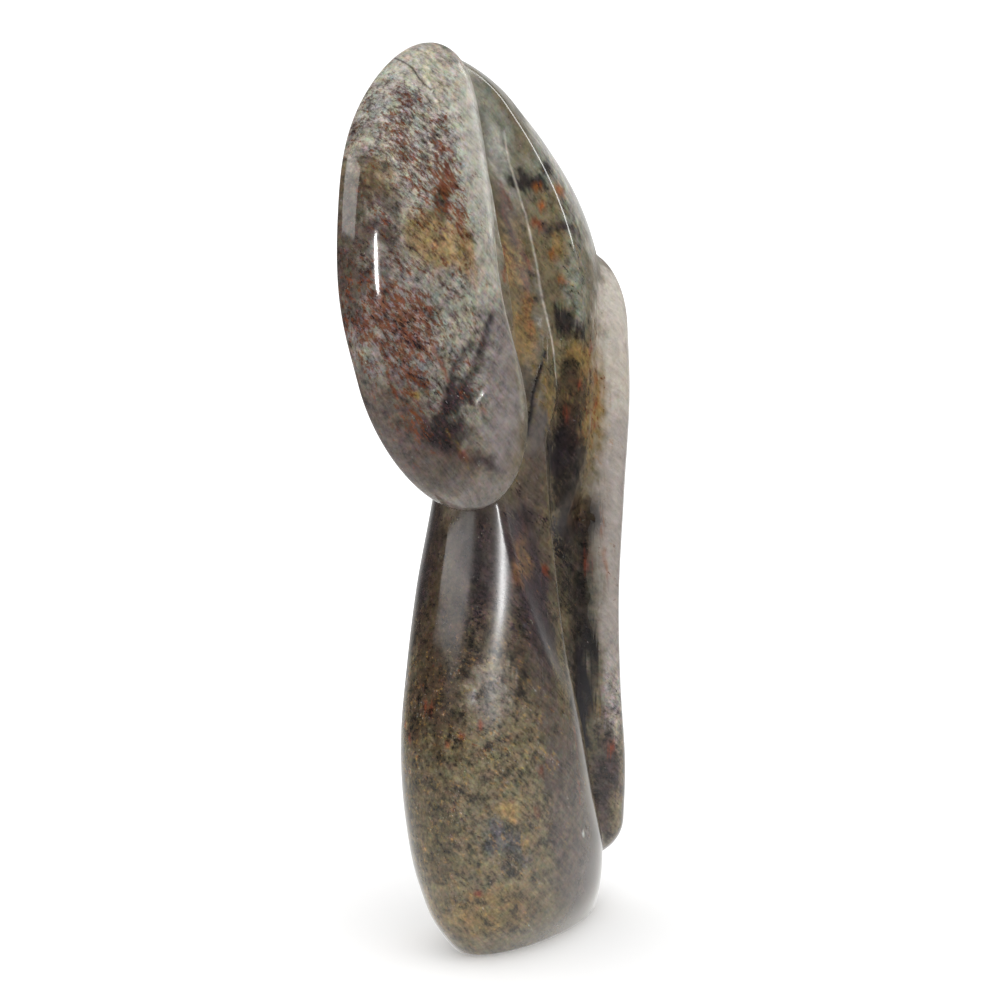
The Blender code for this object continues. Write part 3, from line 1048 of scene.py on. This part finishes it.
        # Dark umber down the neck's left side: partly stone colour, partly painted shade on the side away
        # from the light.
        *dabs(Tone.UMBER, (422, 670, 90, 13, 0.9, 85)),
        *dabs(Tone.INK, (476, 560, 60, 9, 0.65, 88)),
        # The first of these, on the neck's upper left edge, is partly painted shade on the side away from the
        # light.
        *dabs(Tone.UMBER,
             (434, 585, 80, 9, 0.7, 84), (482, 640, 30, 9, 0.6, 70), (520, 650, 50, 14, 0.8, 90)),
        *dabs(Tone.LILAC, (490, 695, 36, 18, 0.5, 90)),
        *dabs(Tone.PLUM, (536, 600, 90, 20, 1.0, -80)),
        *dabs(Tone.INK, (524, 523, 14, 9, 0.7)),
        *dabs(Tone.RUST, (518, 557, 28, 8, 0.5, 85)),
        *dabs(Tone.OCHRE, (521, 560, 22, 8, 0.5, 85)),
        *dabs(Tone.PLUM, (512, 540, 30, 8, 0.8, 85)),
        *dabs(Tone.RUST, (545, 569, 3, 4, 0.9)),
        *dabs(Tone.BROWN_GREY,
             (549, 710, 66, 12, 0.8, -80), (560, 800, 60, 15, 0.8, 90), (571, 800, 110, 18, 0.7, 85),
             (583, 870, 60, 26, 0.9, 90)),
        *dabs(Tone.PLUM, (606, 770, 60, 8, 0.7, 90)),
        *dabs(Tone.MOSS, (597, 835, 14, 9, 0.8)),
        # Partly painted shade: near-black down the groove between the neck and the trunk.
        *dabs(Tone.INK, (583, 700, 90, 10, 1.0, 90)),
        *dabs(Tone.BLUE_GREY, (500, 838, 26, 12, 0.9, -40), (522, 862, 14, 9, 0.8, -60)),
        *dabs(Tone.MOSS, (440, 830, 60, 20, 0.8, 90)),
        *dabs(Tone.OCHRE, (512, 812, 14, 9, 0.8, -20), (523, 848, 8, 7, 0.9), (490, 915, 45, 22, 0.5, 10)),
        # Small spots, on top of the other patches.
        *dabs(Tone.RUST, (589, 561, 5, 6)),
        *dabs(Tone.OCHRE, (597, 712, 7, 5, 0.9)),
        *dabs(Tone.RUST,
             (611, 747, 4, 5), (546, 572, 3, 4, 0.9), (481, 726, 3, 5, 0.9), (461, 737, 3, 3, 0.9),
             (448, 744, 3, 3, 0.9), (427, 707, 3, 4, 0.9), (478, 894, 4, 4, 0.9), (537, 812, 3, 4, 0.8),
             (541, 770, 3, 4, 0.8), (475, 427, 3, 5, 0.8, 70), (482, 409, 3, 4, 0.7)),
        *dabs(Tone.GOLD, (415, 395, 5, 4, 0.8)),
        # White dots: the last is a painted glint on the nick at the trunk's tip; the others are pale chips
        # that carry painted glints.
        *dabs(Tone.CHALK, (516, 673, 2, 3, 0.9), (473, 692, 2, 3, 0.9), (584, 832, 2, 2, 0.9)),
        # Minerals. They only add up, so their order doesn't tell.
        *dabs(Mineral.VIOLET,
             (430, 290, 250, 120, 0.54, 90, 0.03), (405, 125, 70, 40, 0.25, -50),
             (485, 200, 130, 20, -0.30, -80), (440, 72, 50, 26, -0.25), (505, 400, 95, 28, -0.35, -85),
             (500, 560, 80, 80, 0.35, 0, 0.05), (490, 760, 190, 90, 0.25, 90, 0.05)),
        *dabs(Mineral.RUST,
             (420, 290, 240, 110, 0.37, 90, 0.03), (405, 130, 70, 50, 0.16, -50),
             (452, 195, 26, 16, 0.35, -55), (400, 330, 70, 40, 0.35, -50), (406, 415, 30, 14, 0.30, -70),
             (448, 215, 80, 20, 0.08, -60), (485, 200, 130, 20, -0.15, -80), (440, 72, 50, 26, -0.20),
             (505, 400, 95, 28, -0.25, -85), (520, 270, 70, 13, 0.45, -75), (592, 390, 80, 12, 0.45, 90),
             (615, 560, 60, 20, 0.22, 90, 0.03), (470, 740, 140, 60, 0.22, 90, 0.05)),
        *dabs(Mineral.PALE, (430, 300, 240, 110, 0.14, 90, 0.03), (490, 760, 170, 70, 0.14, 90, 0.05)),
        *dabs(Mineral.DARK,
             (430, 122, 24, 14, 0.25, -50), (368, 134, 20, 14, 0.2, -50), (365, 280, 60, 26, 0.35, 80),
             (420, 350, 60, 34, 0.40, -50), (560, 240, 110, 30, 0.28, -70), (565, 520, 140, 25, 0.35, 90),
             (612, 750, 90, 20, 0.3, 90, 0.03), (500, 560, 80, 80, 0.30, 0, 0.05),
             (490, 780, 190, 80, 0.26, 90, 0.05), (545, 700, 90, 16, -0.25, -80),
             (580, 880, 60, 26, -0.25, 90)),
        *dabs(Mineral.OCHRE,
             (430, 240, 34, 20, 0.4, -30), (520, 290, 70, 13, 0.35, -75), (565, 240, 110, 26, 0.25, -70),
             (490, 800, 190, 80, 0.34, 90, 0.05), (603, 400, 110, 9, 0.3, 90)),
        *dabs(Mineral.GRAIN,
             (612, 760, 90, 20, 1.2, 90, 0.03), (490, 790, 200, 90, 1.35, 90, 0.05),
             (570, 430, 130, 24, 0.9, 90, 0.03), (575, 620, 120, 18, 0.9, 90, 0.03),
             (520, 280, 110, 16, 0.8, -78), (560, 220, 110, 30, 0.5, -65), (487, 200, 130, 18, -0.6, -80),
             (430, 280, 260, 120, 0.7, 90, 0.03), (508, 400, 95, 26, -0.2, -85),
             (618, 480, 240, 26, -0.35, 90, 0.03), (548, 720, 100, 16, -0.8, -80)),
        *dabs(Mineral.DULL,
             (500, 620, 130, 60, 1.0, 90, 0.05), (500, 800, 160, 90, 0.7, 90, 0.05),
             (483, 150, 120, 14, 1.8, -80), (504, 195, 120, 15, 2.5, -78), (612, 290, 60, 24, 4.0, 90),
             (522, 315, 70, 17, 2.5, -80), (531, 420, 34, 15, 4.0, 90), (534, 316, 28, 15, 4.0, 90),
             (594, 575, 80, 7, 3.0, 90), (500, 550, 50, 34, 0.3, 90, 0.05), (448, 600, 100, 16, -0.5, 85),
             (515, 330, 90, 11, 2.4, -80)),
    )

    def rough_mesh(self) -> bpy.types.Mesh:
        """The solid as an even closed mesh, each point settled on the carving's skin."""
        mesh = bpy.data.meshes.new("blank")
        shape = bmesh.new()
        shape.from_mesh(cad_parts[NODE].data)
        bmesh.ops.remove_doubles(shape, verts=shape.verts, dist=self.weld)
        shape.to_mesh(mesh)
        shape.free()
        grain = self.grain
        even = self.baked(mesh, "REMESH", mode="VOXEL", voxel_size=grain)
        skin = Skin(self.form)
        spots = skin.settle(self.points_of(even) / HEIGHT, self.settle_steps)
        even.vertices.foreach_set("co", (spots * HEIGHT).ravel())
        return even

    @staticmethod
    def baked(mesh: bpy.types.Mesh, kind: str, **settings: Any) -> bpy.types.Mesh:
        """The mesh with one modifier applied.

        Args:
            mesh: the mesh, which is used up.
            kind: the modifier's type.
            settings: the modifier's settings.

        Returns:
            The new mesh.
        """
        item = placed("blank", mesh)
        step = item.modifiers.new("step", kind)
        for name, value in settings.items():
            setattr(step, name, value)
        graph = bpy.context.evaluated_depsgraph_get()
        result = bpy.data.meshes.new_from_object(item.evaluated_get(graph))
        bpy.data.objects.remove(item)
        bpy.data.meshes.remove(mesh)
        return result

    @staticmethod
    def points_of(mesh: bpy.types.Mesh) -> Points:
        """The mesh's points as rows, in metres."""
        flat = np.empty(len(mesh.vertices) * 3)
        mesh.vertices.foreach_get("co", flat)
        return flat.reshape(-1, 3)

    def grooves(self, surface: Surface) -> tuple[Groove, ...]:
        """The strokes as cuts that follow the stone's surface."""
        skin = Skin(self.form)
        taper = self.stroke_taper
        result = []
        for stroke in self.strokes:
            path = surface.trace(stroke.pixels)
            slope = skin.slope(path)
            out = slope / np.linalg.norm(slope, axis=1, keepdims=True)
            turn = np.linspace(0.0, math.pi, len(path))
            shares = (stroke.start_share, 1, 1, stroke.end_share)
            ends = np.interp(turn, (0, taper, math.pi - taper, math.pi), shares)
            radius = 0.5 * stroke.width / HEIGHT * ends
            raised = radius - stroke.depth / HEIGHT * ends
            result.append(Groove(path + out * raised[:, None], radius, stroke.ease / HEIGHT))
        return tuple(result)

    def refined(self, mesh: bpy.types.Mesh, lines: list[Groove]) -> bpy.types.Mesh:
        """Halves the edges that lie along fine lines until they are fine enough for them."""
        shape = bmesh.new()
        shape.from_mesh(mesh)
        for _ in range(self.refine_rounds):
            shape.verts.ensure_lookup_table()
            spots = np.array([point.co for point in shape.verts]) / HEIGHT
            close = np.zeros(len(spots), bool)
            for line in lines:
                near = np.flatnonzero(line.near(spots))
                if len(near):
                    close[near[line.distance(spots[near]) < EASE_REACH * line.ease]] = True
            edges = [
                edge
                for edge in shape.edges
                if close[edge.verts[0].index] and close[edge.verts[1].index]
                and edge.calc_length() > self.fine_edge
            ]
            bmesh.ops.subdivide_edges(shape, edges=edges, cuts=1, use_grid_fill=True)
            bmesh.ops.triangulate(shape, faces=[face for face in shape.faces if len(face.verts) > 3])
            shape.verts.index_update()
        shape.to_mesh(mesh)
        shape.free()
        return mesh

    def wandered(self, spots: Points) -> Points:
        """The spots shifted by streaky noise, so that patches get ragged edges."""
        ways = np.array((self.finish.bedding, self.finish.upright, self.finish.level)).T
        bedded = (spots @ ways) / np.array(self.streak_sizes)
        shifts = np.zeros_like(spots)
        noise.seed_set(self.wander_seed)
        for strength, fineness, start in self.wander_layers:
            moved = bedded * fineness + start
            shifts += strength * np.array([noise.noise_vector(Vector(spot)) for spot in moved])
        return spots + self.wander * shifts

    def weight(self, patch: Patch, surface: Surface, spots: Points) -> Points:
        """How strongly a patch tells at each point of the stone, from 0 to 1."""
        centre = surface.place(patch.centre)
        if centre is None:
            REPORT.warning("patch at %s is off the stone", patch.centre)
            return np.zeros(len(spots))
        right, up, back = (np.array(axis) for axis in self.camera.axes())
        turn = math.radians(patch.tilt)
        along = right * math.cos(turn) + up * math.sin(turn)
        across = up * math.cos(turn) - right * math.sin(turn)
        size = self.camera.pixel_size()
        gap = spots - np.array(centre)
        reach = (gap @ along / (patch.half[0] * size)) ** 2
        reach += (gap @ across / (patch.half[1] * size)) ** 2
        reach += (gap @ back / patch.depth) ** 2
        return 1 / (1 + reach**self.patch_hardness)

    def colour(self, mesh: bpy.types.Mesh, surface: Surface, veins: list[tuple[Vein, Groove]]) -> None:
        """Stores the ground colour, with its painted highlights and shade, and the minerals' densities on the
        mesh.
        """
        spots = self.points_of(mesh)
        count = len(spots)
        ground = np.tile(np.array(self.base_tone.value), (count, 1))
        density = {mineral: np.zeros(count) for mineral in Mineral}
        density[Mineral.GRAIN] += self.base_grain
        ragged = self.wandered(spots)
        for patch in self.patches:
            loose = ragged if min(patch.half) > self.small_patch else spots
            near = self.weight(patch, surface, loose)
            far = self.weight(patch, surface, loose * OTHER_SIDE)
            told = np.maximum(near, far) * patch.strength
            if isinstance(patch.what, Tone):
                ground += told[:, None] * (np.array(patch.what.value) - ground)
            else:
                density[patch.what] += told
        for vein, line in veins:
            near = np.flatnonzero(line.near(spots / HEIGHT))
            half = vein.half_width / HEIGHT
            loose = spots[near] + vein.raggedness * (ragged[near] - spots[near])
            gap = line.distance(loose / HEIGHT) + line.radius.max()
            told = np.exp(-((np.maximum(gap, 0.0) / half) ** 2)) * vein.strength
            ground[near] += told[:, None] * (np.array(vein.tone.value) - ground[near])
        full = np.concatenate([ground, np.ones((count, 1))], axis=1)
        store = mesh.attributes.new("ground", "FLOAT_COLOR", "POINT")
        store.data.foreach_set("color", full.astype(np.float32).ravel())
        for mineral, amount in density.items():
            store = mesh.attributes.new(mineral.value, "FLOAT", "POINT")
            store.data.foreach_set("value", amount.astype(np.float32))

    def build(self) -> bpy.types.Object:
        """Makes the whole stone and sets it in the frame."""
        mesh = self.rough_mesh()
        REPORT.info("rough mesh: %d faces", len(mesh.polygons))
        mesh = self.baked(mesh, "TRIANGULATE")
        if len(mesh.polygons) > self.faces:
            mesh = self.baked(mesh, "DECIMATE", ratio=self.faces / len(mesh.polygons))
        surface = Surface(mesh, self.camera)
        cuts = self.grooves(surface)
        veins = []
        for vein in self.veins:
            path = surface.trace(vein.pixels)
            radius = np.full(len(path), vein.half_width / HEIGHT)
            veins.append((vein, Groove(path, radius, self.vein_ease * vein.half_width / HEIGHT)))
        mesh = self.refined(mesh, [*cuts, *(line for _, line in veins)])
        skin = Skin(self.form, cuts)
        spots = skin.settle(self.points_of(mesh) / HEIGHT, self.last_settle_steps)
        slope = skin.slope(spots)
        spots = spots * HEIGHT
        low, high = (np.array(corner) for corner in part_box(NODE))
        mesh.vertices.foreach_set("co", np.clip(spots, low, high).ravel())
        self.colour(mesh, surface, veins)
        mesh.materials.clear()
        mesh.materials.append(self.finish.material())
        mesh.shade_smooth()
        out = slope / np.maximum(np.linalg.norm(slope, axis=1, keepdims=True), TINY)
        mesh.normals_split_custom_set_from_vertices([tuple(way) for way in out])
        item = placed("polished_elephant_head", mesh)
        mesh.name = item.name
        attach(item, "root")
        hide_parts(NODE)
        REPORT.info("polished_elephant_head: %d triangles", len(mesh.polygons))
        return item


@dataclass(frozen=True)
class Lamp:
    """A soft light panel, placed around the carving from the camera's own bearing.

    Turn and rise are in degrees, the other sizes in metres, the power in watts.
    """

    name: str
    turn: float
    rise: float
    away: float
    width: float
    height: float
    power: float
    aim_height: float = 0.127
    only_mirrored: bool = False

    def build(self, camera: PhotoCamera) -> bpy.types.Object:
        """Makes the panel, facing the carving."""
        way = heading(camera.azimuth + self.turn, self.rise)
        light = bpy.data.lights.new(self.name, "AREA")
        light.shape = "RECTANGLE"
        light.size, light.size_y = self.width, self.height
        light.energy = self.power
        item = placed(self.name, light)
        item.location = way * self.away + Vector((0.0, 0.0, self.aim_height))
        item.rotation_euler = way.to_track_quat("Z", "Y").to_euler()
        item.visible_diffuse = not self.only_mirrored
        return item


@dataclass(frozen=True)
class Sheet:
    """A level sheet of pale paper. It gives off some light of its own, more of it far from the middle.

    Lengths are in metres. The rim is where the light starts to change and where it has changed.
    """

    name: str
    size: float
    z: float = 0.0
    glow: float = 0.17
    rim_glow: float = 0.4
    rim: tuple[float, float] = (0.03, 0.3)
    fades: bool = False
    colour: tuple[float, float, float, float] = (0.9, 0.9, 0.9, 1.0)

    def paper(self) -> bpy.types.Material:
        """The sheet's material."""
        paper = bpy.data.materials.new(self.name)
        paper.use_nodes = True
        web = NodeWeb(paper.node_tree)
        surface = paper.node_tree.nodes["Principled BSDF"]
        surface.inputs["Base Color"].default_value = self.colour
        surface.inputs["Roughness"].default_value = 1.0
        surface.inputs["Specular IOR Level"].default_value = 0.0
        surface.inputs["Emission Strength"].default_value = 1.0
        place = web.add("ShaderNodeTexCoord", {}, {}).outputs["Object"]
        length = web.add("ShaderNodeVectorMath", {"operation": "LENGTH"}, {0: place})
        start, end = self.rim
        out = ((Value(web, length.outputs["Value"]) - start) * (1 / (end - start))).clamped()
        light = self.glow + out * (self.rim_glow - self.glow)
        web.feed(surface.inputs["Emission Color"], web.grey(light))
        if self.fades:
            web.feed(surface.inputs["Alpha"], 1.0 - out)
        return paper

    def build(self) -> bpy.types.Object:
        """Lays the sheet on the stage."""
        shape = bmesh.new()
        bmesh.ops.create_grid(shape, x_segments=1, y_segments=1, size=self.size / 2)
        mesh = bpy.data.meshes.new(self.name)
        shape.to_mesh(mesh)
        shape.free()
        mesh.materials.append(self.paper())
        item = placed(self.name, mesh)
        item.location.z = self.z
        return item


@dataclass
class Studio:
    """A pale sweep under a bright dome, with soft panels around the carving."""

    camera: PhotoCamera
    floor: Sheet = Sheet("pale_floor", 12.0)
    table: Sheet = Sheet("table_glow", 0.8, -0.0002, rim_glow=0.0, rim=(0.06, 0.34), fades=True)
    backdrop_turn: float = 180.0
    backdrop_edge: float = 0.74
    backdrop_crispness: float = 6.0
    surround: float = 0.12
    backdrop: float = 0.9
    dome: float = 1.06
    dome_lean: float = -0.03
    lamps: tuple[Lamp, ...] = (
        Lamp("window_light", 40, 4, 0.45, 0.014, 0.10, 1.1, 0.12, only_mirrored=True),
        Lamp("side_softbox", -45, 22, 0.8, 0.95, 0.42, 4.6, only_mirrored=True),
        Lamp("top_softbox", 10, 70, 0.9, 0.6, 0.6, 1.5),
        Lamp("rear_strip", 120, 19, 0.6, 0.12, 0.38, 0.9, 0.15, only_mirrored=True),
    )

    def world(self) -> None:
        """White where the camera looks, a bright dome for soft light, dim surroundings in the polish."""
        world = bpy.data.worlds.new("studio")
        bpy.context.scene.world = world
        world.use_nodes = True
        web = NodeWeb(world.node_tree)
        place = web.add("ShaderNodeTexCoord", {}, {}).outputs["Generated"]
        side = math.radians(self.camera.azimuth)
        turn = side + math.radians(self.backdrop_turn)
        behind = web.dot(place, (math.sin(turn), -math.cos(turn), 0.0))
        share = ((behind - self.backdrop_edge) * self.backdrop_crispness).clamped()
        mirrored = self.surround + share * (self.backdrop - self.surround)
        beside = web.dot(place, (math.cos(side), math.sin(side), 0.0))
        spread = self.dome * (1.0 + beside * self.dome_lean)
        path = web.add("ShaderNodeLightPath", {}, {})
        scattered = Value(web, path.outputs["Is Diffuse Ray"])
        seen = Value(web, path.outputs["Is Camera Ray"])
        strength = mirrored + scattered * (spread - mirrored)
        strength = strength + seen * (1.0 - strength)
        sky = world.node_tree.nodes["Background"]
        sky.inputs["Color"].default_value = (*WHITE, 1.0)
        web.feed(sky.inputs["Strength"], strength)

    def build(self) -> None:
        """Makes floor, table, world and lights, and lets the scene show plain colours."""
        self.floor.build().visible_glossy = False
        table = self.table.build()
        table.visible_camera = False
        table.visible_diffuse = False
        table.visible_shadow = False
        self.world()
        for lamp in self.lamps:
            lamp.build(self.camera)
        bpy.context.scene.view_settings.view_transform = "Standard"
        REPORT.info("studio: %d lamps", len(self.lamps))


def main() -> None:
    """Builds the camera, the stone and the studio."""
    logging.basicConfig(level=logging.INFO, format="%(message)s")
    camera = PhotoCamera()
    camera.build()
    ElephantHead(camera).build()
    Studio(camera).build()


if __name__ == "__main__":
    main()
